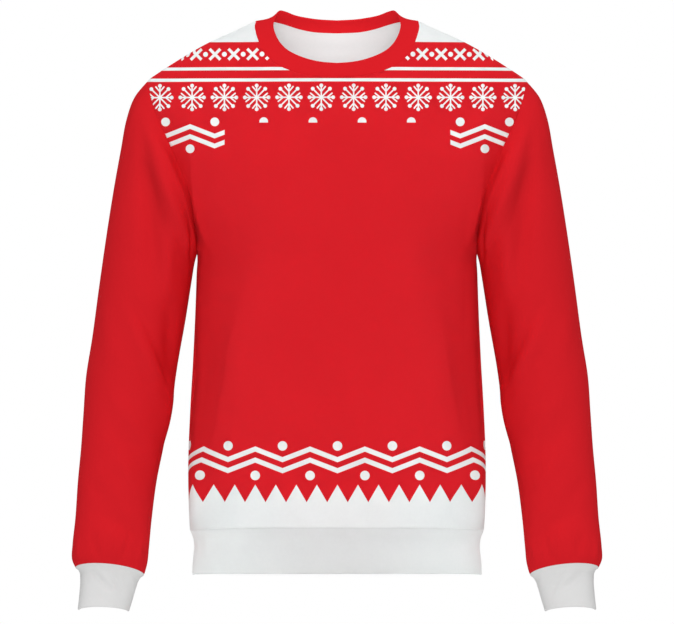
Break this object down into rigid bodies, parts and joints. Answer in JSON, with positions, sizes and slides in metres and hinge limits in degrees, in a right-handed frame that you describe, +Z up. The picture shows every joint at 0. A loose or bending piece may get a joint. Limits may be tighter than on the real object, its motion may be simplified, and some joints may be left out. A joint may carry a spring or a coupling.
{
  "type": "christmas sweater",
  "caption": "Hollow long-sleeved crew-neck sweater, filled out as worn, with a banded neck, hem and cuffs and open neck, hem and wrists.",
  "frame": {"origin": "midway between the two points where the shoulder seams meet the neckband, where the wearer's shoulders hold it", "axes": "+Z up, -Y the way the front faces, +X towards the wearer's left"},
  "size_m": [0.6708, 0.244, 0.7611],
  "materials": {
    "printed_fleece": "matt red fleece with a white printed pattern",
    "red_fleece": "matt red fleece",
    "red_rib": "matt red doubled band",
    "white_rib": "matt white doubled band"
  },
  "bodies": {
    "root": {"front": "printed_fleece", "back": "printed_fleece", "sleeve_left": "red_fleece", "sleeve_right": "red_fleece", "neckband": "red_rib", "hem_band": "white_rib", "cuff_left": "white_rib", "cuff_right": "white_rib"}
  },
  "joints": []
}
